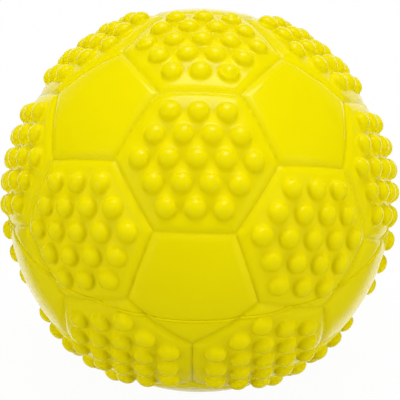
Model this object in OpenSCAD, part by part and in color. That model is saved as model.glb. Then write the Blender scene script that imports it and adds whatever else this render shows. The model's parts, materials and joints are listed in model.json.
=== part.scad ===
// Squeaky dog ball: two moulded rubber halves with football panels, smooth pentagons and studded
// hexagons, bonded round the middle, and a reed squeaker held in the lower pole.
// Millimetres. The origin is the ball's centre, +Z is the mould's axis through two hexagons,
// and the halves meet at z = 0.

/* [Ball] */
// Diameter over the studs
ball_d = 70; // [60:1:80]
// Thickness of the rubber wall under the studs
wall_t = 4; // [3:0.25:5]

/* [Studs] */
// Diameter of a stud at its foot
stud_d = 3.9; // [3:0.1:4.2]
// Height of a stud above its panel
stud_h = 1.5; // [1:0.1:1.9]
// Bare band between the outer studs and the edge of their panel
stud_band = 1.9; // [1.5:0.1:2.6]
// Studs along one side of a hexagon panel
studs_per_side = 3; // [2:1:3]

/* [Panel grooves] */
// Width of the groove between two panels
groove_w = 0.9; // [0.6:0.1:1.2]
// Depth of the groove between two panels
groove_d = 0.45; // [0.3:0.05:0.7]
// Narrowest strip of a panel that reaches over the seam into the other half
least_land = 0.6; // [0.4:0.1:1]

/* [Seam] */
// Thickness of the cured bond between the halves
seam_t = 0.3; // [0.2:0.05:0.6]
// How far the bond stands out of the panels
seam_proud = 0.2; // [0.1:0.05:0.4]

/* [Squeaker seat] */
// Depth of the squeaker's face below the panel around it
face_recess = 0.5; // [0.3:0.1:1]
// Length of rubber gripped between the flange and the barb
grip_l = 4; // [3:0.25:5]
// Wall of the inner collar around the barrel
collar_t = 3.6; // [2.5:0.1:5]
// Clearance of the squeaker in its rubber seat
seat_gap = 0.05; // [0.03:0.01:0.1]

/* [Squeaker body] */
// Diameter of the outer flange
flange_d = 11.6; // [10.5:0.1:12]
// Thickness of the outer flange
flange_t = 1.2; // [0.8:0.1:1.6]
// Chamfer on the flange's rim
flange_chamfer = 0.3; // [0.1:0.05:0.5]
// Outer diameter of the barrel
barrel_d = 8.4; // [8:0.1:9]
// Bore of the barrel
bore_d = 6.4; // [6:0.1:6.8]
// Largest diameter of the barb that the rubber grips behind
barb_d = 9.8; // [9.4:0.1:10.4]
// Length of the barb's taper
barb_l = 2; // [1.5:0.1:2.5]
// Thickness of the outer end wall
end_wall_t = 1.6; // [1.2:0.1:2]
// Diameter of the air hole in the end wall
air_hole_d = 2.4; // [1.6:0.1:2.6]

/* [Reed set] */
// Length of the reed
reed_l = 8; // [7:0.1:9]
// Width of the reed
reed_w = 2.4; // [2:0.1:2.8]
// Thickness of the reed
reed_t = 0.2; // [0.15:0.05:0.3]
// Length of the reed's clamped root
root_l = 2.4; // [2:0.1:3]
// Clearance over and under the reed's root, for its flexing
root_gap = 0.1; // [0.08:0.01:0.15]
// Clearance at each side of the reed and beyond its tip
reed_side_gap = 0.25; // [0.2:0.05:0.4]
// Depth of the air channel under the reed
channel_h = 1.4; // [1:0.1:1.8]
// Thickness of the holder's end disc, which the air channel passes through
disc_t = 1.2; // [0.8:0.1:1.6]
// Clearance of the reed holder and clamp in the barrel
core_gap = 0.05; // [0.03:0.01:0.1]
// Height of the air passage left over the clamp
passage_h = 1.1; // [0.8:0.1:1.4]

/* [Cap] */
// Length of the cap's spigot in the barrel
spigot_l = 1.5; // [1:0.1:2]
// Thickness of the cap's rim
cap_t = 1; // [0.8:0.1:1.5]
// Wall of the cap's spigot around the air inlet
spigot_wall = 0.7; // [0.5:0.05:0.9]

/* [Hidden] */
$fn = 64;
rubber_yellow = [0.94, 0.88, 0.02];
squeaker_white = [0.93, 0.92, 0.88];
core_ivory = [0.88, 0.86, 0.78];
reed_brass = [0.78, 0.62, 0.30];

// Radii of the ball
ball_r = ball_d / 2;
panel_r = ball_r - stud_h;
floor_r = panel_r - groove_d;
cavity_r = panel_r - wall_t;
// Radius of the sphere whose cap makes a stud
dome_r = (pow(stud_d / 2, 2) + pow(stud_h, 2)) / (2 * stud_h);

// Heights along the squeaker's axis, from its outer face inwards
face_z = -(panel_r - face_recess);
seat_z = face_z + flange_t;
collar_z = seat_z + grip_l;
holder_z0 = face_z + end_wall_t;
disc_z = holder_z0 + disc_t;
tip_z = disc_z + reed_side_gap;
holder_z1 = tip_z + reed_l;
root_z = holder_z1 - root_l;
barrel_z1 = holder_z1 + spigot_l;
seat_r = flange_d / 2 + seat_gap;
core_r = bore_d / 2 - core_gap;
slot_h = reed_t / 2 + root_gap;
channel_w = reed_w + 2 * reed_side_gap;

// A length that carries a cut clear of the face that it breaks through
through = 1;

// Directions of the pentagon panels: the corners of an icosahedron that stands on a face
function direction(tilt, turn) = [sin(tilt) * cos(turn), sin(tilt) * sin(turn), cos(tilt)];
function unit(v) = v / norm(v);
upper_tilt = acos(sqrt((5 + 2 * sqrt(5)) / 15));
middle_tilt = acos(sqrt((5 - 2 * sqrt(5)) / 15));
north_pentagons = [
    for (k = [0:2]) direction(upper_tilt, 90 + 120 * k),
    for (k = [0:2]) direction(middle_tilt, 270 + 120 * k),
];
pentagons = [
    for (p = north_pentagons) p,
    for (p = north_pentagons) -p,
];
last = len(pentagons) - 1;
function neighbours(a, b) = a != b && pentagons[a] * pentagons[b] > 0;

// Each hexagon panel lies among three neighbouring pentagons
hexagons = [
    for (a = [0:last])
    for (b = [a + 1:1:last])
    if (neighbours(a, b))
    for (c = [b + 1:1:last])
    if (neighbours(a, c) && neighbours(b, c))
    [pentagons[a], pentagons[b], pentagons[c]]
];

// A panel corner lies a third of the way from one pentagon's middle to the next
function corner(a, b) = unit(2 * a + b);
function turned(v, about, angle) =
    v * cos(angle) + cross(about, v) * sin(angle) + (about * v) * (1 - cos(angle)) * about;

// The corners of a panel, turned about its middle from the first
function ring(axis, first, sides) = [for (k = [0:sides - 1]) turned(first, axis, k * 360 / sides)];
function hexagon_axis(h) = unit(h[0] + h[1] + h[2]);
function hexagon_ring(h) = ring(hexagon_axis(h), corner(h[0], h[1]), 6);
function pentagon_ring(a) =
    let (beside = [for (b = [0:last]) if (neighbours(a, b)) pentagons[b]])
    ring(pentagons[a], corner(pentagons[a], beside[0]), 5);

// Whether a panel holds enough of one half, +1 above the seam and -1 below, to be moulded on it
function reaches(corners, side) =
    panel_r * max([for (c = corners) c.z * side]) > (groove_w + seam_t) / 2 + least_land;

// Stud lattice of a hexagon: rows on a triangular grid, set out from the panel's flat side
apothem = panel_r * norm(cross(unit(hexagons[0][0] + hexagons[0][1]), hexagon_axis(hexagons[0])));
steps = studs_per_side - 1;
stud_pitch = (apothem - stud_band - stud_d / 2) / (steps * sin(60));
lattice = [
    for (i = [-steps:steps])
    for (j = [-steps:steps])
    if (abs(i + j) <= steps)
    [(i + j / 2) * stud_pitch, j * sin(60) * stud_pitch]
];
function on_sphere(axis, across, up, at) =
    at.x * across + at.y * up + sqrt(pow(panel_r, 2) - at * at) * axis;
function hexagon_studs(h) =
    let (axis = hexagon_axis(h))
    let (side = h[0] + h[1])
    let (up = unit(side - (side * axis) * axis))
    [for (at = lattice) on_sphere(axis, cross(up, axis), up, at)];
function beside_seat(foot) = foot.z > 0 || norm([foot.x, foot.y]) > seat_r + stud_d / 2;

// One stud: the cap of a sphere, rooted half a groove's depth in its panel
module stud(foot) {
    base_z = sqrt(pow(panel_r, 2) - pow(stud_d / 2, 2)) - groove_d / 2;
    rotate([0, acos(foot.z / norm(foot)), atan2(foot.y, foot.x)])
        intersection() {
            translate([0, 0, ball_r - dome_r])
                sphere(dome_r);
            translate([0, 0, base_z])
                cylinder(h = ball_r - base_z + through, d = 2 * stud_d);
        }
}

// One panel: a plate of the outer layer, between planes that stand half a groove off its sides
module panel(axis, corners) {
    flank = unit(cross(corners[0], corners[1]));
    tip = groove_w / 2 / (flank * axis) * axis;
    sides = len(corners);
    difference() {
        intersection() {
            sphere(panel_r);
            polyhedron(
                points = [tip, for (c = corners) tip + ball_d * c],
                faces = [
                    [for (k = [sides:-1:1]) k],
                    for (k = [1:sides]) [0, k, k % sides + 1],
                ]);
        }
        sphere(floor_r - groove_d);
    }
}

// The space on one side of the seam
module half_space(side) {
    translate([0, 0, side > 0 ? seam_t / 2 : -seam_t / 2 - ball_d])
        cylinder(h = ball_d, r = ball_d);
}

// The outer form of one half: a plain half ball under its panels and their studs
module half_form(side) {
    intersection() {
        sphere(floor_r);
        half_space(side);
    }
    for (h = hexagons)
        if (reaches(hexagon_ring(h), side))
            intersection() {
                union() {
                    panel(hexagon_axis(h), hexagon_ring(h));
                    for (foot = hexagon_studs(h))
                        if (beside_seat(foot))
                            stud(foot);
                }
                half_space(side);
            }
    for (a = [0:last])
        if (reaches(pentagon_ring(a), side))
            intersection() {
                panel(pentagons[a], pentagon_ring(a));
                half_space(side);
            }
}

module upper_half_shell() {
    color(rubber_yellow)
        difference() {
            half_form(1);
            sphere(cavity_r);
        }
}

// The inner collar grips the barrel, and the flange lies in a round seat in the outside
module lower_half_shell() {
    color(rubber_yellow)
        difference() {
            half_form(-1);
            difference() {
                sphere(cavity_r);
                translate([0, 0, collar_z - ball_d])
                    cylinder(h = ball_d, r = barrel_d / 2 + collar_t);
            }
            translate([0, 0, seat_z - ball_d])
                cylinder(h = ball_d, r = seat_r);
            translate([0, 0, seat_z - through])
                cylinder(h = grip_l + 2 * through, d = barrel_d + 2 * seat_gap);
        }
}

module seam_bond() {
    color(rubber_yellow)
        difference() {
            translate([0, 0, -seam_t / 2])
                cylinder(h = seam_t, r = panel_r + seam_proud);
            translate([0, 0, -seam_t])
                cylinder(h = 2 * seam_t, r = cavity_r);
        }
}

module squeaker_body() {
    barb_z = collar_z + seat_gap;
    color(squeaker_white)
        difference() {
            union() {
                translate([0, 0, face_z])
                    cylinder(h = flange_chamfer, d1 = flange_d - 2 * flange_chamfer, d2 = flange_d);
                translate([0, 0, face_z + flange_chamfer])
                    cylinder(h = flange_t - flange_chamfer, d = flange_d);
                translate([0, 0, face_z + flange_chamfer])
                    cylinder(h = barrel_z1 - face_z - flange_chamfer, d = barrel_d);
                translate([0, 0, barb_z])
                    cylinder(h = barb_l, d1 = barb_d, d2 = barrel_d);
            }
            translate([0, 0, holder_z0])
                cylinder(h = barrel_z1 - holder_z0 + through, d = bore_d);
            translate([0, 0, face_z - through])
                cylinder(h = end_wall_t + 2 * through, d = air_hole_d);
        }
}

// A round core cut flat under the reed, with a full disc at its outer end and the air channel through it
module reed_holder() {
    color(core_ivory)
        difference() {
            translate([0, 0, holder_z0])
                cylinder(h = holder_z1 - holder_z0, r = core_r);
            translate([-bore_d / 2, -slot_h, disc_z])
                cube([bore_d, bore_d, holder_z1 - disc_z + through]);
            translate([-channel_w / 2, -slot_h - channel_h, holder_z0 - through])
                cube([channel_w, channel_h, disc_z - holder_z0 + 2 * through]);
            translate([-channel_w / 2, -slot_h - channel_h, disc_z - through])
                cube([channel_w, channel_h + through, root_z - disc_z + through]);
        }
}

module reed() {
    color(reed_brass)
        translate([-reed_w / 2, -reed_t / 2, tip_z])
            cube([reed_w, reed_t, reed_l]);
}

// The other half of the round core, over the root alone, slotted for the reed and cut flat for the air
module reed_clamp() {
    color(core_ivory)
        difference() {
            intersection() {
                translate([0, 0, root_z])
                    cylinder(h = root_l, r = core_r);
                translate([-bore_d / 2, -slot_h, root_z])
                    cube([bore_d, slot_h + bore_d / 2 - passage_h, root_l]);
            }
            translate([-channel_w / 2, -slot_h - through, root_z - through])
                cube([channel_w, 2 * slot_h + through, root_l + 2 * through]);
        }
}

module squeaker_cap() {
    color(squeaker_white)
        difference() {
            union() {
                translate([0, 0, holder_z1 + core_gap])
                    cylinder(h = barrel_z1 - holder_z1, r = core_r);
                translate([0, 0, barrel_z1])
                    cylinder(h = cap_t, d = barrel_d);
            }
            translate([0, 0, holder_z1])
                cylinder(h = spigot_l + cap_t + through, r = core_r - spigot_wall);
        }
}

upper_half_shell();
lower_half_shell();
seam_bond();
squeaker_body();
reed_holder();
reed();
reed_clamp();
squeaker_cap();
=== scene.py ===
"""Looks of a squeaky dog ball: two moulded rubber halves, their seam and a squeaker."""

import json
import math
from itertools import combinations

import bpy
import numpy as np
from mathutils import Matrix, Vector


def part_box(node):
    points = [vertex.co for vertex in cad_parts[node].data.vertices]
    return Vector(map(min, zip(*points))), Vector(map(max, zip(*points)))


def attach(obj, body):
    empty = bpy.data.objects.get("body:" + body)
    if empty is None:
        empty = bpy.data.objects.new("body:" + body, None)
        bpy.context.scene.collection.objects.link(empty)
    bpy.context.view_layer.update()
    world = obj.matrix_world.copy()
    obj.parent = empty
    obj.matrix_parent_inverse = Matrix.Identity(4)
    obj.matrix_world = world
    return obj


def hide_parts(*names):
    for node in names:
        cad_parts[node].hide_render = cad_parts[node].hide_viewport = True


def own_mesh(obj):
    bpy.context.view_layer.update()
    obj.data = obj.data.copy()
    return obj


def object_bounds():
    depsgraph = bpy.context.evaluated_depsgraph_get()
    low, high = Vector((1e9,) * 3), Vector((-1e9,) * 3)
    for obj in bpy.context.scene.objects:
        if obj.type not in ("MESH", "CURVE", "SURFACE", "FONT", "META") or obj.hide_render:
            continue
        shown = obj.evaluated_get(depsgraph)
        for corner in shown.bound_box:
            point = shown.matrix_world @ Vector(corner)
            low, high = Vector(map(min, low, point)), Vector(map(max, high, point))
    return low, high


bl_info = {
    "name": "Squeaky dog ball",
    "version": (1, 0, 0),
    "blender": (4, 5, 0),
    "location": "View3D > Sidebar > Dog ball",
    "description": "Builds the finished surfaces of a studded rubber ball around its frame",
    "category": "Add Mesh",
}

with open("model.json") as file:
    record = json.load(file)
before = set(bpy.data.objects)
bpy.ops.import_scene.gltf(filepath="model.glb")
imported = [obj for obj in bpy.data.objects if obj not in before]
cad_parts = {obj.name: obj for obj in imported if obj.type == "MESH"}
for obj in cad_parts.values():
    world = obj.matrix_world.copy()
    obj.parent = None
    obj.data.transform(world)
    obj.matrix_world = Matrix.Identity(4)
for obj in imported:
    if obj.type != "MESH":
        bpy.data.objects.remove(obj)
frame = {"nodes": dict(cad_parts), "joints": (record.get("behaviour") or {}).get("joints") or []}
CAD_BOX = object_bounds()
BALL_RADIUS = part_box("upper_half_shell")[1].z
SEAM_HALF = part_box("seam_bond")[1].z
SQUEAKER_LOW, SQUEAKER_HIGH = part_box("squeaker_body")
BARREL_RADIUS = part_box("squeaker_cap")[1].x
CORE_LOW, CORE_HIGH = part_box("reed_holder")

# Sizes of the squeaker and of its seat in the rubber that no box of the frame gives, in metres
FLANGE_THICK = 0.0012
GRIP_LENGTH = 0.004
COLLAR_THICK = 0.0036
AIR_HOLE_RADIUS = 0.0012
BARB_RADIUS, BARB_LENGTH = 0.0049, 0.002
SEAT_GAP = 0.00005

# The rubber's surface: what part of the pitch one stud's points are spaced in, what part of a stud is dull
# at its foot, the draw of the studs' uneven heights, slow waves over the panels as runs along X, Y and Z
# with their starts, waves of the seam as strength, number round the ball and start, and the share of the
# ball's radius in which they fade
STUD_CELL = 0.49
DULL_FOOT = 0.24
STUD_SEED = 7
PANEL_WAVES = np.array([[5.1, 3.2, -7.3], [-4.4, 6.9, 2.7], [8.3, -2.6, 4.9]])
PANEL_STARTS = np.array([0.3, 1.7, 4.1])
SEAM_WAVES = ((1.0, 2, 0.6), (0.8, 5, 2.1), (0.5, 9, 0.4))
SEAM_FADE = 0.25

# The meshes: cells from the middle to the edge of the squeaker's hole, how much coarser the inner wall is,
# points across the seam's raised line, steps round the squeaker, the turn that makes an edge sharp, and the
# least number that a length is divided by
HOLE_CELLS = 16
INNER_COARSER = 4
FLASH_POINTS = 11
LATHE_STEPS = 96
SHARP_TURN = math.radians(40)
TINY = 1e-9

# The stage: lamps, the surround's white part in a gloss by its facing, the dark card in the floor's paint,
# and the wedge of floor that is white in a gloss
LAMP_DISTANCE, LAMP_SIZE, GLOSS_LAMP_SIZE = 0.6, 0.55, 0.36
SURROUND_FADE = (-0.3, -0.8)
FLOOR_HALF = 3.0
FLOOR_WHITE = 0.96
CARD_AHEAD, CARD_WIDE, CARD_LONG = -0.345, 0.11, 0.22
CARD_EDGE = (0.8, 1.6)
WEDGE_FRONT, WEDGE_HALF, WEDGE_FADE, WEDGE_FLARE = (-0.035, -0.008), 0.036, 0.02, 0.9


def length(name, description, default):
    """A size in metres that a user can change."""
    return bpy.props.FloatProperty(
        name=name, description=description, default=default, unit="LENGTH", precision=5)


def angle(name, description, degrees):
    """An angle that a user can change, given in degrees."""
    return bpy.props.FloatProperty(
        name=name, description=description, default=np.radians(degrees), subtype="ANGLE")


def share(name, description, default):
    """A plain number that a user can change."""
    return bpy.props.FloatProperty(name=name, description=description, default=default, precision=3)


def count(name, description, default):
    """A whole number that a user can change."""
    return bpy.props.IntProperty(name=name, description=description, default=default)


def colour(name, description, default):
    """A linear colour that a user can change."""
    return bpy.props.FloatVectorProperty(
        name=name, description=description, default=(*default, 1.0), size=4, subtype="COLOR",
        min=0.0, max=1.0)


class BallSizes(bpy.types.PropertyGroup):
    """Sizes of the moulded rubber"""

    ball_radius: length("Ball radius", "From the middle to the tops of the studs", BALL_RADIUS)
    wall: length("Wall", "Thickness of the rubber under the studs", 0.004)
    stud_height: length("Stud height", "Height of a stud above its panel", 0.0015)
    stud_foot: length("Stud foot", "Diameter of a stud at its foot", 0.0039)
    stud_band: length("Stud band", "Bare band between the outer studs and the edge of their panel", 0.0019)
    stud_fillet: length("Stud fillet", "Radius of the fillet round a stud's foot", 0.00025)
    stud_spread: share("Stud spread", "Largest share of its height that a stud is short by", 0.05)
    nub_radius: length("Nub radius", "Radius of the mould mark on three studs of the top panel", 0.00095)
    nub_shoulder: share("Nub shoulder", "Height of the ledge round a mould mark, as a share", 0.6)
    groove_half: length("Groove half width", "From the bottom of a groove to its lip", 0.00035)
    groove_depth: length("Groove depth", "Depth of the groove between two panels", 0.00011)
    edge_round: length("Edge round", "Width of the soft rounding along a panel's edge", 0.0016)
    edge_drop: length("Edge drop", "Fall of the soft rounding at a panel's edge", 0.0005)
    panel_waver: length("Panel waver", "Depth of the slow unevenness of the panels", 0.00006)
    rim_round: length("Rim round", "Width of the rounding of a half's rim at the seam", 0.0006)
    rim_drop: length("Rim drop", "Fall of the rounding of a half's rim", 0.00012)
    flash_half: length("Flash half width", "Half of the width of the seam's raised line", 0.00028)
    flash_height: length("Flash height", "Height of the seam's raised line", 0.00026)
    flash_sink: length("Flash sink", "How far the raised line's foot lies in the rubber", 0.00002)
    seam_waver: length("Seam waver", "How far the seam wanders from its plane", 0.00035)
    grid_cells: count("Grid cells", "Cells across the grid of one half, a multiple of 8", 296)


class BallColours(bpy.types.PropertyGroup):
    """Colours of the ball's materials"""

    rubber: colour("Rubber", "Yellow of the moulded rubber", (0.86, 0.745, 0.001))
    rubber_deep: colour("Rubber, deep", "Yellow where the pigment lies thicker", (0.80, 0.685, 0.001))
    # Painted shade: a darker yellow that the rubber is blended towards at the bottoms of the grooves
    groove: colour("Groove", "Yellow at the bottom of a groove", (0.50, 0.41, 0.001))
    plastic: colour("Squeaker", "White of the squeaker's body and cap", (0.82, 0.80, 0.73))
    core: colour("Reed core", "Ivory of the reed's holder and clamp", (0.72, 0.68, 0.53))
    brass: colour("Reed", "Brass of the reed", (0.66, 0.44, 0.14))


class StudioSetup(bpy.types.PropertyGroup):
    """Camera, lamps and surround"""

    camera_turn: angle("Camera turn", "Turn of the camera about the ball from its front", 1.39)
    camera_height: angle("Camera height", "Angle of the camera above the seam's plane", 36.65)
    camera_roll: angle("Camera roll", "Turn of the camera about its own view", 0.93)
    camera_distance: length("Camera distance", "From the camera to the ball's middle", 0.4355)
    camera_lens: share("Camera lens", "Focal length in millimetres on a 36 mm sensor", 223.9)
    aim_right: length("Aim right", "Where the camera aims, to the right of the ball's middle", 0.0001)
    aim_up: length("Aim up", "Where the camera aims, above the ball's middle", 0.00004)
    top_power: share("Top lamp", "Power of the lamp that shows in the gloss in watts", 2.1)
    top_tint: bpy.props.FloatVectorProperty(
        name="Top lamp's tint", description="Cool colour of the lamp that shows in the gloss",
        default=(0.42, 0.6, 1.0), subtype="COLOR")
    front_power: share("Front lamp", "Power of the lamp above the camera in watts", 0.6)
    fill_power: share("Fill lamp", "Power of the lamp above the ball in watts", 2.8)
    back_power: share("Back lamp", "Power of the lamp behind the ball in watts", 1.3)
    left_power: share("Left lamp", "Power of the lamp to the camera's left in watts", 2.2)
    right_power: share("Right lamp", "Power of the lamp to the camera's right in watts", 2.4)
    surround: share("Surround", "Strength of the white surround behind the ball", 0.2)


def unit(vectors):
    """The vectors at length one."""
    return vectors / np.linalg.norm(vectors, axis=-1, keepdims=True)


def dot(a, b):
    """Products of matching vectors."""
    return (a * b).sum(axis=-1)


def polar(tilt, turn):
    """Directions at a tilt from +Z and a turn about it."""
    tilt, turn = np.broadcast_arrays(tilt, turn)
    return np.stack([np.sin(tilt) * np.cos(turn), np.sin(tilt) * np.sin(turn), np.cos(tilt)], axis=-1)


class StudSection:
    """Section of a stud: a quarter of an ellipse, a fillet round its upright foot, then the bare panel.

    At an angle t from the axis the ellipse lies at a distance a sin(t) from it and at a height
    f + (h - f) cos(t), for a stud of radius a and height h with a fillet of radius f.
    """

    def __init__(self, sizes, cell):
        self.cell = cell
        self.fillet = sizes.stud_fillet
        self.height = sizes.stud_height
        self.radius = sizes.stud_foot / 2 - self.fillet
        self.foot = sizes.stud_foot / 2
        self.ledge = sizes.nub_shoulder * self.height
        self.nub = sizes.nub_radius
        self.foot_reach = DULL_FOOT * self.radius

    def spread(self, out):
        """Distances from the axis, spaced about evenly along the section instead of along the panel."""
        quarter = np.pi / 2
        cap = quarter * np.hypot(self.radius, self.height - self.fillet) / np.sqrt(2)
        curve = cap + quarter * self.fillet
        along = out * (curve + self.cell - self.foot) / self.cell
        return np.select(
            [along < cap, along < curve, out < self.cell],
            [self.radius * np.sin(quarter * along / cap),
             self.foot - self.fillet * np.cos((along - cap) / self.fillet),
             self.foot + along - curve],
            out)

    def rise(self, out):
        """Height above the panel at a distance from the axis."""
        round_share = np.sqrt(np.maximum(1 - (out / self.radius) ** 2, 0))
        cap = self.fillet + (self.height - self.fillet) * round_share
        fillet = self.fillet - np.sqrt(np.maximum(self.fillet ** 2 - (self.foot - out) ** 2, 0))
        return np.select([out < self.radius, out < self.foot], [cap, fillet], 0)

    def marked_rise(self, out):
        """The same with a mould mark: a ledge, with a round nub that reaches the cap's own height."""
        nub = np.sqrt(1 - np.minimum(out / self.nub, 1) ** 5)
        return np.minimum(self.rise(out), self.ledge + (self.height - self.ledge) * nub)


class PanelPattern:
    """The football's panels on a sphere: twelve pentagons, twenty hexagons and the hexagons' studs.

    The pentagons' middles are an icosahedron's corners with a face at each pole, and a hexagon lies
    among each three neighbours. All sides are great circles.
    """

    STUDS_OUT = 2
    NEARLY = 0.95

    def __init__(self, sizes, seat_radius):
        self.sizes = sizes
        self.radius = sizes.ball_radius - sizes.stud_height
        thirds = np.arange(3) * 2 * np.pi / 3
        upper, middle = np.arccos(np.sqrt((5 + np.array([2, -2]) * np.sqrt(5)) / 15))
        north = np.concatenate([polar(upper, np.pi / 2 + thirds), polar(middle, thirds - np.pi / 2)])
        self.pentagons = np.concatenate([north, -north])
        near = self.pentagons @ self.pentagons.T > 0
        triples = np.array([t for t in combinations(range(12), 3) if near[np.ix_(t, t)].all()])
        a, b, c = (self.pentagons[triples[:, k]] for k in range(3))
        self.hexagons = unit(a + b + c)
        self.hexagon_up = self.towards(self.hexagons, a + b)
        self.hexagon_reach = np.arccos(self.hexagons[0] @ unit(a + b)[0])
        beside = np.array([(triples == k).any(axis=1).argmax() for k in range(12)])
        self.pentagon_up = self.towards(self.pentagons, self.hexagons[beside])
        self.pentagon_reach = np.arccos(a[0] @ unit(4 * a + b + c)[0])
        self.place_studs(seat_radius)

    @staticmethod
    def towards(middle, other):
        """Directions along the sphere from a middle to another point."""
        return unit(other - dot(other, middle)[..., None] * middle)

    def place_studs(self, seat_radius):
        """Studs on a triangular lattice set out from a panel's flat side, less those over the seat."""
        sizes = self.sizes
        row = np.sqrt(3) / 2
        room = self.radius * np.sin(self.hexagon_reach) - sizes.stud_band - sizes.stud_foot / 2
        self.pitch = room / (self.STUDS_OUT * row)
        steps = np.arange(-self.STUDS_OUT, self.STUDS_OUT + 1)
        i, j = (k.ravel() for k in np.meshgrid(steps, steps, indexing="ij"))
        kept = abs(i + j) <= self.STUDS_OUT
        x, y = self.pitch * (i + j / 2)[kept], self.pitch * (j * row)[kept]
        across = np.cross(self.hexagon_up, self.hexagons)
        lift = np.sqrt(self.radius ** 2 - x ** 2 - y ** 2)
        self.feet = unit(
            x[:, None] * across[:, None] + y[:, None] * self.hexagon_up[:, None]
            + lift[:, None] * self.hexagons[:, None])
        out = self.radius * np.hypot(self.feet[..., 0], self.feet[..., 1])
        on_seat = (self.feet[..., 2] < 0) & (out < seat_radius + sizes.stud_foot / 2)
        short = np.random.default_rng(STUD_SEED).uniform(0, sizes.stud_spread, on_seat.shape)
        self.stud_scale = np.where(on_seat, 0, 1 - short)
        turn = np.arctan2(self.feet[..., 1], self.feet[..., 0])
        corner = np.hypot(x, y) > self.NEARLY * self.STUDS_OUT * self.pitch
        top = self.hexagons[:, 2] > self.NEARLY
        every_second = np.cos(3 * turn) < -self.NEARLY
        self.marked = top[:, None] & corner & every_second

    @staticmethod
    def nearest_side(d, middle, up, sides, reach):
        """Sine of each direction's distance inside its panel's nearest side, and that side's normal.

        A side lies at the panel's reach from its middle, so its normal into the panel is
        sin(reach) middle - cos(reach) s, with s the direction along the sphere to the side.
        """
        across = np.cross(up, middle)
        sector = 2 * np.pi / sides
        turn = sector * np.round(np.arctan2(dot(d, across), dot(d, up)) / sector)[..., None]
        normal = np.sin(reach) * middle - np.cos(reach) * (np.cos(turn) * up + np.sin(turn) * across)
        return dot(d, normal), normal

    def sides(self, d):
        """For each direction: sine of the distance to the nearest side, that side's normal into the
        panel, whether the panel is a smooth pentagon, and the nearest hexagon."""
        p = (d @ self.pentagons.T).argmax(axis=-1)
        h = (d @ self.hexagons.T).argmax(axis=-1)
        in_p, side_p = self.nearest_side(d, self.pentagons[p], self.pentagon_up[p], 5, self.pentagon_reach)
        in_h, side_h = self.nearest_side(d, self.hexagons[h], self.hexagon_up[h], 6, self.hexagon_reach)
        smooth = in_p > 0
        return np.where(smooth, in_p, in_h), np.where(smooth[..., None], side_p, side_h), smooth, h

    def onto_grooves(self, d):
        """Grid directions, with three points of each grid line that crosses a groove moved onto its bottom
        and its two lips, and which points lie on a bottom.

        The point nearest to each moves along whichever grid line crosses the groove more squarely, by
        half a cell at most. Points on the grid's border only move along it.
        """
        inside, normal, _, _ = self.sides(d)
        steps = [np.gradient(d, axis=k) for k in (0, 1)]
        rates = [dot(normal, s) for s in steps]
        border = np.zeros((2, *inside.shape), bool)
        border[0, :, [0, -1]] = True
        border[1, [0, -1], :] = True
        first = ((abs(rates[0]) >= abs(rates[1])) | border[0]) & ~border[1]
        rate = np.where(first, rates[0], rates[1])
        rate = np.where(abs(rate) < TINY, TINY, rate)
        half_cell = 0.5
        free = ~(border[0] & border[1])
        to_bottom = -inside / rate
        to_lip = (np.sin(self.sizes.groove_half / self.radius) - inside) / rate
        bottom = (abs(to_bottom) <= half_cell) & free
        lip = (abs(to_lip) <= half_cell) & free
        cells = np.where(bottom, to_bottom, np.where(lip, to_lip, 0))
        step = np.where(first[..., None], steps[0], steps[1])
        moved = d + cells[..., None] * step
        moved[border.any(axis=0), 2] = 0
        return unit(moved), bottom


class HalfGrid:
    """Directions over half a ball, on a square grid from the pole to the seam.

    Concentric squares of the grid become circles: a point's turn follows its place along its square,
    and the square's half width r gives a tilt with 1 - cos(tilt) = r * r, so cells have equal areas.
    A hole at the pole takes up the squares within hole_cells, and its edge lies at hole_tilt.
    """

    def __init__(self, cells, hole_cells=0, hole_tilt=0.0):
        self.cells = cells
        self.hole_cells = hole_cells
        side = np.linspace(-1, 1, cells + 1)
        x, y = np.meshgrid(side, side, indexing="ij")
        square = np.maximum(abs(x), abs(y))
        flat = abs(x) >= abs(y)
        slope = np.where(flat, y, x) / np.where(square > 0, np.where(flat, x, y), 1)
        turn = np.where(flat, slope, 2 - slope) * np.pi / 4 + np.pi * np.where(flat, x < 0, y < 0)
        if hole_cells:
            edge = 2 * hole_cells / cells
            hole = np.sqrt(1 - np.cos(hole_tilt))
            square = np.interp(square, [0, edge, 1], [0, hole, 1])
        self.directions = polar(np.arccos(1 - square ** 2), turn)

    def loop(self, half):
        """Numbers of the points on the square that lies half cells out, once round from its corner."""
        low, high = self.cells // 2 - half, self.cells // 2 + half
        run = np.arange(low, high)
        near, far = np.full(2 * half, low), np.full(2 * half, high)
        i = np.concatenate([run, far, run[::-1] + 1, near])
        j = np.concatenate([near, run, far, run[::-1] + 1])
        return i * (self.cells + 1) + j

    def faces(self, crease=None):
        """Two triangles a cell, outside the hole.

        A cell is split along the diagonal that runs towards the pole, because the three other corners of
        a cell on the grid's own diagonals lie on one circle. Elsewhere a diagonal on the crease goes first.
        """
        n = self.cells + 1
        at = np.arange(n * n).reshape(n, n)
        a, b, c, d = at[:-1, :-1], at[1:, :-1], at[1:, 1:], at[:-1, 1:]
        middle = np.arange(self.cells) + 0.5 - self.cells / 2
        x, y = np.meshgrid(middle, middle, indexing="ij")
        falling = x * y < 0
        if crease is not None:
            on = crease.ravel()
            free = abs(x) != abs(y)
            falling = np.where(free & on[a] & on[c], False, np.where(free & on[b] & on[d], True, falling))
        falling = falling[..., None]
        shown = np.maximum(abs(x), abs(y)) > self.hole_cells
        one = np.where(falling, np.stack([a, b, d], -1), np.stack([a, b, c], -1))[shown]
        two = np.where(falling, np.stack([b, c, d], -1), np.stack([a, c, d], -1))[shown]
        return np.concatenate([one, two])


def circle(size, radius, height):
    """Points round the Z axis, starting where a grid's loops start."""
    turn = 2 * np.pi * np.arange(size) / size - 3 * np.pi / 4
    return np.stack([radius * np.cos(turn), radius * np.sin(turn), np.full(size, height)], axis=-1)


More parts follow.
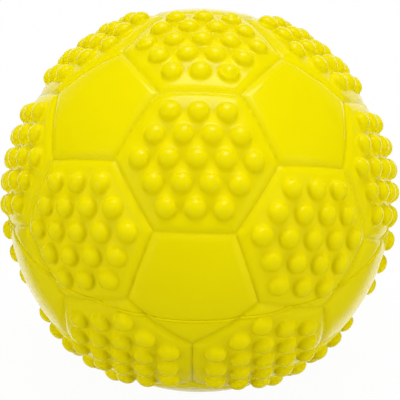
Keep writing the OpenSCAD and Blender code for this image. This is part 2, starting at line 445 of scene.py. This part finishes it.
def band(fine, coarse):
    """Triangles between two closed loops, the first with as many points or a whole number of times more."""
    ratio = len(fine) // len(coarse)
    k = np.arange(len(fine))
    far = coarse[((k + ratio // 2) // ratio) % len(coarse)]
    sides = np.stack([fine, np.roll(fine, -1), far], axis=-1)
    crossing = np.roll(far, -1) != far
    ends = np.stack([np.roll(fine, -1), np.roll(far, -1), far], axis=-1)[crossing]
    return np.concatenate([sides, ends])


def lathe(section, around):
    """Points and faces of a closed section carried round the Z axis. The section is a list of radius and
    height pairs, anticlockwise."""
    section = np.asarray(section)
    points = np.concatenate([circle(around, radius, height) for radius, height in section])
    rings = np.arange(len(points)).reshape(len(section), around)
    faces = [band(rings[k], rings[(k + 1) % len(section)]) for k in range(len(section))]
    return points, np.concatenate(faces)


def arc(centre, radius, start, stop, points=6):
    """Points of a section's round corner, from one angle to another in degrees."""
    turn = np.radians(np.linspace(start, stop, points))
    return [(centre[0] + radius * np.cos(t), centre[1] + radius * np.sin(t)) for t in turn]


def seam_shift(points, sizes):
    """Height by which the seam wanders: slow waves round the ball that fade out away from the seam."""
    turn = np.arctan2(points[..., 1], points[..., 0])
    waves = sum(strength * np.sin(number * turn + start) for strength, number, start in SEAM_WAVES)
    wave = waves / sum(strength for strength, _, _ in SEAM_WAVES)
    reach = SEAM_FADE * sizes.ball_radius
    return sizes.seam_waver * wave * np.exp(-(points[..., 2] / reach) ** 2)


def set_on_seam(points, sizes, side):
    """Points of a half moved off the middle plane by half the seam, with the pole where it was."""
    moved = points.copy()
    moved[..., 2] = points[..., 2] * (1 - SEAM_HALF / sizes.ball_radius) + side * SEAM_HALF
    moved[..., 2] += seam_shift(points, sizes)
    return moved


def rubber_surface(d, pattern, section):
    """Outer surface over unit directions: points, and how near each lies to a groove or a stud's foot.

    The radius is the panels' own, less drop * (1 - e / w) ** 2 within a width w of a panel's edge, for
    the groove and for the wider soft rounding, and of the rim at the seam, less a slow unevenness, plus
    the studs' section.
    """
    sizes = pattern.sizes
    sine, _, smooth, h = pattern.sides(d)
    stud = np.einsum("...k,...sk->...s", d, pattern.feet[h]).argmax(axis=-1)
    axis = pattern.feet[h, stud]
    out = pattern.radius * np.sqrt(np.maximum(1 - dot(d, axis) ** 2, 0))
    hold = np.clip(abs(d[..., 2]) * pattern.radius / pattern.pitch, 0, 1)
    spaced = out + hold * (section.spread(out) - out)
    spaced = np.where(smooth | (pattern.stud_scale[h, stud] == 0), out, spaced)
    aside = d - dot(d, axis)[..., None] * axis
    sine_out = (spaced / pattern.radius)[..., None]
    aside = aside / np.maximum(np.linalg.norm(aside, axis=-1), TINY)[..., None]
    d = np.sqrt(1 - sine_out ** 2) * axis + sine_out * aside
    rise = np.where(pattern.marked[h, stud], section.marked_rise(spaced), section.rise(spaced))
    rise = np.where(smooth, 0, rise * pattern.stud_scale[h, stud])
    foot = np.clip(1 - abs(spaced - section.radius) / section.foot_reach, 0, 1)
    foot = np.where(smooth, 0, foot * pattern.stud_scale[h, stud])
    edge = pattern.radius * np.arcsin(np.clip(sine, 0, 1))
    lip = np.clip(1 - edge / sizes.groove_half, 0, 1)
    soft = np.clip(1 - edge / sizes.edge_round, 0, 1)
    rim = np.clip(1 - pattern.radius * abs(d[..., 2]) / sizes.rim_round, 0, 1)
    waves = np.sin(d @ PANEL_WAVES.T + PANEL_STARTS)
    waver = sizes.panel_waver * (1 + waves.mean(axis=-1)) / 2
    drop = sizes.groove_depth * lip ** 2 + sizes.edge_drop * soft ** 2 + sizes.rim_drop * rim ** 2
    radius = pattern.radius - drop - waver + rise
    # The groove measure also drives the painted shade at the groove bottoms in the rubber's finish
    return d * radius[..., None], {"groove": lip, "foot": foot}


def half_shell(sizes, pattern, section, side):
    """One moulded half: points, faces and the groove and foot measures of the points.

    The outer surface and the plain inner wall are grids from the pole to the seam, joined by a flat
    rim. The lower half has the squeaker's seat and inner collar, a section carried round the hole.
    """
    lower = side < 0
    seat = squeaker_seat(sizes)
    hole_tilt = np.arcsin(seat[0][0] / pattern.radius)
    inner_tilt = np.arcsin(seat[-1][0] / (pattern.radius - sizes.wall))
    inner_hole = HOLE_CELLS // 2
    outer = HalfGrid(sizes.grid_cells, HOLE_CELLS if lower else 0, hole_tilt)
    inner = HalfGrid(sizes.grid_cells // INNER_COARSER, inner_hole if lower else 0, inner_tilt)
    turned = np.array([1, 1, side])
    d, crease = pattern.onto_grooves(outer.directions * turned)
    skin, measures = rubber_surface(d, pattern, section)
    skin = set_on_seam(skin, sizes, side).reshape(-1, 3)
    wall = inner.directions * turned * (pattern.radius - sizes.wall)
    wall = set_on_seam(wall, sizes, side).reshape(-1, 3)
    points = [skin, wall]
    skin_faces = outer.faces(crease)
    wall_faces = inner.faces()[:, ::-1] + len(skin)
    rim = band(outer.loop(outer.cells // 2), inner.loop(inner.cells // 2) + len(skin))[:, ::-1]
    faces = [skin_faces, wall_faces, rim]
    if lower:
        start, end = outer.loop(HOLE_CELLS), inner.loop(inner_hole) + len(skin)
        rings = [circle(len(start), radius, height) for radius, height in seat[1:]]
        numbers = np.arange(len(start) * len(rings)).reshape(len(rings), -1) + len(skin) + len(wall)
        loops = [start, *numbers, end]
        points += rings
        faces += [band(a, b) for a, b in zip(loops, loops[1:])]
    points, faces = np.concatenate(points), np.concatenate(faces)
    if lower:
        faces = faces[:, ::-1]
    inside = len(points) - len(skin)
    measures = {name: np.pad(value.ravel(), (0, inside)) for name, value in measures.items()}
    used, faces = np.unique(faces, return_inverse=True)
    return points[used], faces.reshape(-1, 3), {name: value[used] for name, value in measures.items()}


def squeaker_seat(sizes):
    """Section of the seat from the outer surface inwards: a rounded lip, the flange's step, the barrel's
    hole, and the collar round it inside the ball."""
    lip = 0.00025
    flange = SQUEAKER_HIGH.x + SEAT_GAP
    barrel = BARREL_RADIUS + SEAT_GAP
    collar = BARREL_RADIUS + COLLAR_THICK
    step = SQUEAKER_LOW.z + FLANGE_THICK
    top = step + GRIP_LENGTH
    panel = sizes.ball_radius - sizes.stud_height
    surface = -np.sqrt(panel ** 2 - (flange + lip) ** 2)
    foot = -np.sqrt((panel - sizes.wall) ** 2 - collar ** 2)
    return [
        *arc((flange + lip, surface + lip), lip, 270, 180),
        (flange, step), (barrel, step),
        *arc((barrel + lip, top - lip), lip, 180, 90),
        (collar, top), (collar, foot)]


def seam_ring(sizes, pattern, section):
    """The bond between the halves: a flat section from the inner wall to the outside, where it ends in a
    raised line of height h and half width w, h * (1 + cos(pi z / w)) / 2, carried round the seam at the
    outer surface's own radius."""
    grid = HalfGrid(sizes.grid_cells)
    d, _ = pattern.onto_grooves(grid.directions)
    skin, _ = rubber_surface(d.reshape(-1, 3)[grid.loop(grid.cells // 2)], pattern, section)
    out = np.linalg.norm(skin, axis=-1)
    inside = np.full(len(out), pattern.radius - sizes.wall)
    height = np.linspace(-1, 1, FLASH_POINTS) * sizes.flash_half
    swell = sizes.flash_height * (1 + np.cos(np.pi * height / sizes.flash_half)) / 2 - sizes.flash_sink
    radius = np.stack([inside, *(out + s for s in swell), inside])
    level = np.concatenate([[-SEAM_HALF], height, [SEAM_HALF]])[:, None]
    points = np.stack([radius * skin[:, 0] / out, radius * skin[:, 1] / out, level + 0 * radius], axis=-1)
    points[..., 2] += seam_shift(skin, sizes)
    numbers = np.arange(radius.size).reshape(radius.shape)
    faces = [band(a, b) for a, b in zip(numbers, np.roll(numbers, -1, axis=0))]
    return points.reshape(-1, 3), np.concatenate(faces)


def squeaker_body():
    """Section of the squeaker's body, anticlockwise from its air hole: a dished outer face in a rounded
    flange, the barrel with the barb that the rubber sits behind, and the bore for the reed's core."""
    soft, rim = 0.00015, 0.0003
    dish, dish_edge, land = 0.0002, 0.0006, 0.001
    hole, barrel, flange = AIR_HOLE_RADIUS, BARREL_RADIUS, SQUEAKER_HIGH.x
    bore = CORE_HIGH.x + SEAT_GAP
    face, wall, top = SQUEAKER_LOW.z, CORE_LOW.z, SQUEAKER_HIGH.z
    step = face + FLANGE_THICK
    catch = step + GRIP_LENGTH + SEAT_GAP
    flat = flange - land
    return [
        *arc((hole + soft, face + dish + soft), soft, 180, 270),
        (flat - dish_edge, face + dish), (flat - dish_edge / 2, face + dish / 2), (flat, face),
        *arc((flange - rim, face + rim), rim, 270, 360),
        *arc((flange - soft, step - soft), soft, 0, 90),
        (barrel, step), (barrel, catch),
        *arc((BARB_RADIUS - soft, catch + soft), soft, 270, 340),
        (barrel, catch + BARB_LENGTH),
        *arc((barrel - soft, top - soft), soft, 0, 90),
        (bore, top), (bore, wall), (hole, wall)]


def make_piece(name, points, faces, measures, finish, sharp=math.pi):
    """A smooth mesh object at the origin, from arrays of points and triangles and of measures by point.
    Edges with a turn of more than the sharp angle are left sharp."""
    mesh = bpy.data.meshes.new(name)
    mesh.vertices.add(len(points))
    mesh.vertices.foreach_set("co", np.ascontiguousarray(points, np.float32).ravel())
    mesh.loops.add(faces.size)
    mesh.loops.foreach_set("vertex_index", np.ascontiguousarray(faces, np.int32).ravel())
    mesh.polygons.add(len(faces))
    mesh.polygons.foreach_set("loop_start", np.arange(0, faces.size, 3, dtype=np.int32))
    mesh.polygons.foreach_set("use_smooth", np.ones(len(faces), bool))
    for measure, values in measures.items():
        attribute = mesh.attributes.new(measure, "FLOAT", "POINT")
        attribute.data.foreach_set("value", np.ascontiguousarray(values, np.float32))
    mesh.update(calc_edges=True)
    if mesh.validate():
        raise RuntimeError(f"the mesh of {name} has faults")
    mesh.set_sharp_from_angle(angle=sharp)
    mesh.materials.append(finish)
    piece = bpy.data.objects.new(name, mesh)
    bpy.context.scene.collection.objects.link(piece)
    return piece


class Socket:
    """One shader output in an expression: arithmetic on it adds Math nodes to its tree."""

    def __init__(self, graph, output):
        self.graph = graph
        self.output = output

    def math(self, operation, first, second):
        return self.graph.node("ShaderNodeMath", {"operation": operation}, {0: first, 1: second})

    def __add__(self, other):
        return self.math("ADD", self, other)

    def __radd__(self, other):
        return self.math("ADD", other, self)

    def __sub__(self, other):
        return self.math("SUBTRACT", self, other)

    def __rsub__(self, other):
        return self.math("SUBTRACT", other, self)

    def __mul__(self, other):
        return self.math("MULTIPLY", self, other)

    def __rmul__(self, other):
        return self.math("MULTIPLY", other, self)

    def __pow__(self, other):
        return self.math("POWER", self, other)

    def most(self, other):
        return self.math("MAXIMUM", self, other)


class Graph:
    """A node tree that is written as expressions."""

    def __init__(self, owner):
        owner.use_nodes = True
        self.tree = owner.node_tree
        self.tree.nodes.clear()

    def node(self, kind, settings, inputs, output=0):
        """Adds a node: its settings first, then the values or links of its sockets."""
        made = self.tree.nodes.new(kind)
        for key, value in settings.items():
            setattr(made, key, value)
        for key, value in inputs.items():
            if isinstance(value, Socket):
                self.tree.links.new(value.output, made.inputs[key])
            else:
                made.inputs[key].default_value = value
        return Socket(self, made.outputs[output]) if len(made.outputs) else None

    def place(self):
        """The piece's own coordinates in metres."""
        return self.node("ShaderNodeTexCoord", {}, {}, "Object")

    def noise(self, place, size, detail=2.0):
        """Smooth noise from 0 to 1 with features of a size in metres."""
        inputs = {"Vector": place, "Scale": 1 / size, "Detail": detail, "Roughness": 0.55}
        return self.node("ShaderNodeTexNoise", {}, inputs, 0)

    def measure(self, name):
        """A measure that the mesh carries at its points."""
        return self.node("ShaderNodeAttribute", {"attribute_name": name}, {}, "Fac")

    def blend(self, factor, first, second):
        """One colour going over to another."""
        settings = {"data_type": "RGBA", "clamp_factor": True}
        return self.node("ShaderNodeMix", settings, {0: factor, 6: first, 7: second}, 2)

    def bump(self, height, depth):
        """A normal from a height of 0 to 1 that stands for a depth in metres."""
        inputs = {"Strength": 1.0, "Distance": depth, "Height": height}
        return self.node("ShaderNodeBump", {}, inputs)

    def eased(self, value, start, stop):
        """0 to 1 as a value goes from its start to its stop, with soft ends."""
        inputs = {"Value": value, "From Min": start, "From Max": stop}
        return self.node("ShaderNodeMapRange", {"interpolation_type": "SMOOTHSTEP"}, inputs)

    def seen(self, in_gloss):
        """1 for rays that show a surface to the eye, straight, through something clear or in a gloss, and
        how white it is to them: in a gloss only by the share that is given."""
        kinds = ("Is Camera Ray", "Is Glossy Ray", "Is Transmission Ray")
        camera, glossy, through = (self.node("ShaderNodeLightPath", {}, {}, kind) for kind in kinds)
        return camera.most(through).most(glossy), camera.most(through).most(in_gloss)

    def surface(self, matte=None, **inputs):
        """The shader of a solid surface, with sockets named in words, linked to the output. It has no gloss
        where the matte share is 1."""
        named = {key.replace("_", " ").replace("Ior", "IOR"): value for key, value in inputs.items()}
        shader = self.node("ShaderNodeBsdfPrincipled", {}, named)
        if matte is not None:
            dull = self.node("ShaderNodeBsdfPrincipled", {}, {**named, "Specular IOR Level": 0.0})
            shader = self.node("ShaderNodeMixShader", {}, {0: matte, 1: shader, 2: dull})
        self.node("ShaderNodeOutputMaterial", {}, {"Surface": shader})


def rubber_finish(name, colours):
    """Satin moulded rubber: cloudy pigment, painted shade at the groove bottoms, a fine mould grain and an
    uneven gloss that is dull round the studs' feet."""
    finish = bpy.data.materials.new(name)
    graph = Graph(finish)
    place = graph.place()
    cloud = graph.noise(place, size=0.011, detail=3.0)
    grain = graph.noise(place, size=0.00035)
    tone = graph.blend(cloud, tuple(colours.rubber_deep), tuple(colours.rubber))
    # Painted shade: the groove bottoms are blended a little towards the darker groove yellow
    painted_groove_shade = 0.05 * graph.measure("groove") ** 2
    graph.surface(
        matte=graph.measure("foot"),
        Base_Color=graph.blend(painted_groove_shade, tone, tuple(colours.groove)),
        Roughness=0.07 + 0.06 * cloud + 0.04 * grain,
        Specular_Ior_Level=0.18,
        Normal=graph.bump(0.7 * grain + 0.3 * cloud, depth=0.000008))
    return finish


def darker(pigment, share_left):
    """A colour with a share of its light left."""
    return (*(share_left * part for part in pigment[:3]), 1.0)


def grey(level):
    """A neutral colour."""
    return (level, level, level, 1.0)


def plastic_finish(name, pigment):
    """Moulded plastic: a nearly even colour with a fine satin grain."""
    finish = bpy.data.materials.new(name)
    graph = Graph(finish)
    place = graph.place()
    cloud = graph.noise(place, size=0.003, detail=3.0)
    grain = graph.noise(place, size=0.00015)
    graph.surface(
        Base_Color=graph.blend(cloud, tuple(pigment), darker(pigment, 0.9)),
        Roughness=0.38 + 0.12 * grain,
        Specular_Ior_Level=0.5,
        Normal=graph.bump(grain, depth=0.000012))
    return finish


def brass_finish(name, pigment):
    """Rolled brass strip: fine lines along the roll, with duller patches."""
    finish = bpy.data.materials.new(name)
    graph = Graph(finish)
    place = graph.place()
    along = graph.node("ShaderNodeMapping", {}, {"Vector": place, "Scale": (1.0, 1.0, 0.04)})
    lines = graph.noise(along, size=0.00006)
    patch = graph.noise(place, size=0.002)
    graph.surface(
        Base_Color=graph.blend(patch, tuple(pigment), darker(pigment, 0.7)),
        Metallic=1.0,
        Roughness=0.24 + 0.2 * patch + 0.08 * lines,
        Normal=graph.bump(lines, depth=0.000004))
    return finish


def hand_over(piece, body, slot, *nodes):
    """Sets a piece on its body, in place of the frame's nodes that it stands for. The slot is not used."""
    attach(piece, body)
    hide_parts(*nodes)


def camera_axes(setup):
    """The camera's right, up and backward directions."""
    turn, height, roll = setup.camera_turn, setup.camera_height, setup.camera_roll
    flat = math.cos(height)
    back = Vector((math.sin(turn) * flat, -math.cos(turn) * flat, math.sin(height)))
    level = Vector((math.cos(turn), math.sin(turn), 0))
    right = math.cos(roll) * level + math.sin(roll) * back.cross(level)
    return right, back.cross(right), back


def place_camera(setup, right, up, back):
    """The camera, aimed near the ball's middle."""
    data = bpy.data.cameras.new("camera")
    data.lens = setup.camera_lens
    data.clip_start, data.clip_end = 0.01, 100.0
    camera = bpy.data.objects.new("camera", data)
    bpy.context.scene.collection.objects.link(camera)
    turned = Matrix((right, up, back)).transposed().to_4x4()
    at = setup.aim_right * right + setup.aim_up * up + setup.camera_distance * back
    camera.matrix_world = Matrix.Translation(at) @ turned
    bpy.context.scene.camera = camera


def soft_box(name, axes, turn, height, size, power):
    """A square lamp that faces the ball, at a turn to the right and a height in degrees from the camera."""
    data = bpy.data.lights.new(name, "AREA")
    data.shape = "SQUARE"
    data.size = size
    data.energy = power
    lamp = bpy.data.objects.new(name, data)
    bpy.context.scene.collection.objects.link(lamp)
    right, up, back = axes
    turn, height = math.radians(turn), math.radians(height)
    level = right * math.sin(turn) + back * math.cos(turn)
    towards = level * math.cos(height) + up * math.sin(height)
    lamp.location = towards * LAMP_DISTANCE
    lamp.rotation_euler = towards.to_track_quat("Z", "Y").to_euler()
    return lamp


def white_surround(setup, back):
    """A white world to the eye, and behind the ball in its gloss too, which lights the ball more from behind
    than from the camera's side."""
    world = bpy.data.worlds.new("surround")
    bpy.context.scene.world = world
    graph = Graph(world)
    look = graph.node("ShaderNodeTexCoord", {}, {}, "Generated")
    facing = graph.node("ShaderNodeVectorMath", {"operation": "DOT_PRODUCT"}, {0: look, 1: back}, "Value")
    seen, white = graph.seen(graph.eased(facing, *SURROUND_FADE))
    strength = setup.surround * (0.0 - facing).most(0.0) ** 2.0
    light = graph.node("ShaderNodeBackground", {}, {"Strength": seen * white + (1 - seen) * strength})
    graph.node("ShaderNodeOutputWorld", {}, {"Surface": light})


def white_floor():
    """A wide floor under the studs that the ball stands on, white to the eye, with a faint shadow.

    Its paint is dark in a long patch in front of the ball, as if a dark card lay there, so that little
    light comes back up on the ball's front. The ball's gloss shows it white only in a wedge that starts
    under the ball and opens behind it, where the distance to the side less a share of the distance back
    is small.
    """
    half, height = FLOOR_HALF, CAD_BOX[0].z
    mesh = bpy.data.meshes.new("floor")
    corners = [(-half, -half, height), (half, -half, height), (half, half, height), (-half, half, height)]
    mesh.from_pydata(corners, [], [(0, 1, 2, 3)])
    finish = bpy.data.materials.new("floor_white")
    graph = Graph(finish)
    place = graph.place()
    card = {"Vector": place, "Location": (0, CARD_AHEAD, height), "Scale": (CARD_WIDE, CARD_LONG, 1)}
    across = graph.node("ShaderNodeMapping", {"vector_type": "TEXTURE"}, card)
    out = graph.node("ShaderNodeVectorMath", {"operation": "LENGTH"}, {0: across}, "Value")
    shade = graph.blend(graph.eased(out, *CARD_EDGE), grey(0.1), grey(0.85))
    paint = graph.node("ShaderNodeBsdfDiffuse", {}, {"Color": shade})
    x, y = (graph.node("ShaderNodeSeparateXYZ", {}, {0: place}, part) for part in "XY")
    aside = x.most(0.0 - x) - WEDGE_FLARE * y
    wedge = graph.eased(aside, WEDGE_HALF + WEDGE_FADE, WEDGE_HALF) * graph.eased(y, *WEDGE_FRONT)
    seen, white = graph.seen(wedge)
    glow = graph.node("ShaderNodeEmission", {}, {"Color": graph.blend(white, grey(0.0), grey(1.0))})
    mixed = graph.node("ShaderNodeMixShader", {}, {0: FLOOR_WHITE * seen, 1: paint, 2: glow})
    graph.node("ShaderNodeOutputMaterial", {}, {"Surface": mixed})
    mesh.materials.append(finish)
    floor = bpy.data.objects.new("floor", mesh)
    bpy.context.scene.collection.objects.link(floor)


class DOGBALL_OT_half_shells(bpy.types.Operator):
    """Mould the two rubber halves, with their panels, grooves and studs"""

    bl_idname = "dog_ball.half_shells"
    bl_label = "Half shells"

    def execute(self, context):
        sizes = context.scene.ball_sizes
        pattern = PanelPattern(sizes, SQUEAKER_HIGH.x)
        section = StudSection(sizes, STUD_CELL * pattern.pitch)
        finish = rubber_finish("yellow_rubber", context.scene.ball_colours)
        upper = make_piece("upper_half", *half_shell(sizes, pattern, section, 1), finish)
        hand_over(upper, "upper_half", "yellow_rubber", "upper_half_shell")
        squeeze = next(joint for joint in frame["joints"] if joint["name"] == "squeeze")
        left = 1 - squeeze["range_m"][1] / sizes.ball_radius
        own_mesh(upper)
        lower = make_piece("lower_half", *half_shell(sizes, pattern, section, -1), finish)
        hand_over(lower, "lower_half", "yellow_rubber", "lower_half_shell")
        return {"FINISHED"}


class DOGBALL_OT_seam(bpy.types.Operator):
    """Lay the cured seam between the halves, with its thin raised line"""

    bl_idname = "dog_ball.seam"
    bl_label = "Seam"

    def execute(self, context):
        sizes = context.scene.ball_sizes
        pattern = PanelPattern(sizes, SQUEAKER_HIGH.x)
        section = StudSection(sizes, STUD_CELL * pattern.pitch)
        points, faces = seam_ring(sizes, pattern, section)
        finish = rubber_finish("seam_rubber", context.scene.ball_colours)
        seam = make_piece("seam", points, faces, {}, finish)
        hand_over(seam, "lower_half", "seam_rubber", "seam_bond")
        return {"FINISHED"}


class DOGBALL_OT_squeaker(bpy.types.Operator):
    """Finish the squeaker: its body, cap, reed core and reed"""

    bl_idname = "dog_ball.squeaker"
    bl_label = "Squeaker"

    def execute(self, context):
        colours = context.scene.ball_colours
        plastic = plastic_finish("squeaker_plastic", colours.plastic)
        core = plastic_finish("core_plastic", colours.core)
        brass = brass_finish("reed_brass", colours.brass)
        body = make_piece("squeaker", *lathe(squeaker_body(), LATHE_STEPS), {}, plastic, SHARP_TURN)
        hand_over(body, "lower_half", "squeaker_plastic", "squeaker_body")
        finishes = {"squeaker_cap": plastic, "reed_holder": core, "reed_clamp": core, "reed": brass}
        for node, finish in finishes.items():
            mesh = frame["nodes"][node].data
            mesh.materials.clear()
            mesh.materials.append(finish)
        return {"FINISHED"}


class DOGBALL_OT_studio(bpy.types.Operator):
    """Set up the white floor and surround, the soft lamps and the camera"""

    bl_idname = "dog_ball.studio"
    bl_label = "Studio"

    def execute(self, context):
        setup = context.scene.ball_studio
        axes = camera_axes(setup)
        place_camera(setup, *axes)
        gloss_lamp = soft_box("top_lamp", axes, 12, 70, GLOSS_LAMP_SIZE, setup.top_power)
        gloss_lamp.visible_diffuse = False
        gloss_lamp.data.color = setup.top_tint
        for name, turn, height, power in (
                ("front_lamp", 4, 30, setup.front_power),
                ("fill_lamp", 4, 64, setup.fill_power),
                ("back_lamp", 0, 116, setup.back_power),
                ("left_lamp", -50, -5, setup.left_power),
                ("right_lamp", 55, -8, setup.right_power)):
            lamp = soft_box(name, axes, turn, height, LAMP_SIZE, power)
            lamp.visible_glossy = False
        white_surround(setup, axes[2])
        white_floor()
        context.scene.view_settings.view_transform = "Standard"
        return {"FINISHED"}


OPERATORS = (DOGBALL_OT_half_shells, DOGBALL_OT_seam, DOGBALL_OT_squeaker, DOGBALL_OT_studio)


class VIEW3D_PT_dog_ball(bpy.types.Panel):
    """Sizes, colours and steps of the ball"""

    bl_label = "Squeaky dog ball"
    bl_space_type = "VIEW_3D"
    bl_region_type = "UI"
    bl_category = "Dog ball"

    def draw(self, context):
        for operator in OPERATORS:
            self.layout.operator(operator.bl_idname)
        for group in (context.scene.ball_sizes, context.scene.ball_colours, context.scene.ball_studio):
            box = self.layout.box()
            for name in group.__annotations__:
                box.prop(group, name)


CLASSES = (BallSizes, BallColours, StudioSetup, *OPERATORS, VIEW3D_PT_dog_ball)


def register():
    for made in CLASSES:
        bpy.utils.register_class(made)
    bpy.types.Scene.ball_sizes = bpy.props.PointerProperty(type=BallSizes)
    bpy.types.Scene.ball_colours = bpy.props.PointerProperty(type=BallColours)
    bpy.types.Scene.ball_studio = bpy.props.PointerProperty(type=StudioSetup)


def unregister():
    del bpy.types.Scene.ball_sizes
    del bpy.types.Scene.ball_colours
    del bpy.types.Scene.ball_studio
    for made in reversed(CLASSES):
        bpy.utils.unregister_class(made)


def main():
    register()
    bpy.ops.dog_ball.half_shells()
    bpy.ops.dog_ball.seam()
    bpy.ops.dog_ball.squeaker()
    bpy.ops.dog_ball.studio()


if __name__ == "__main__":
    main()
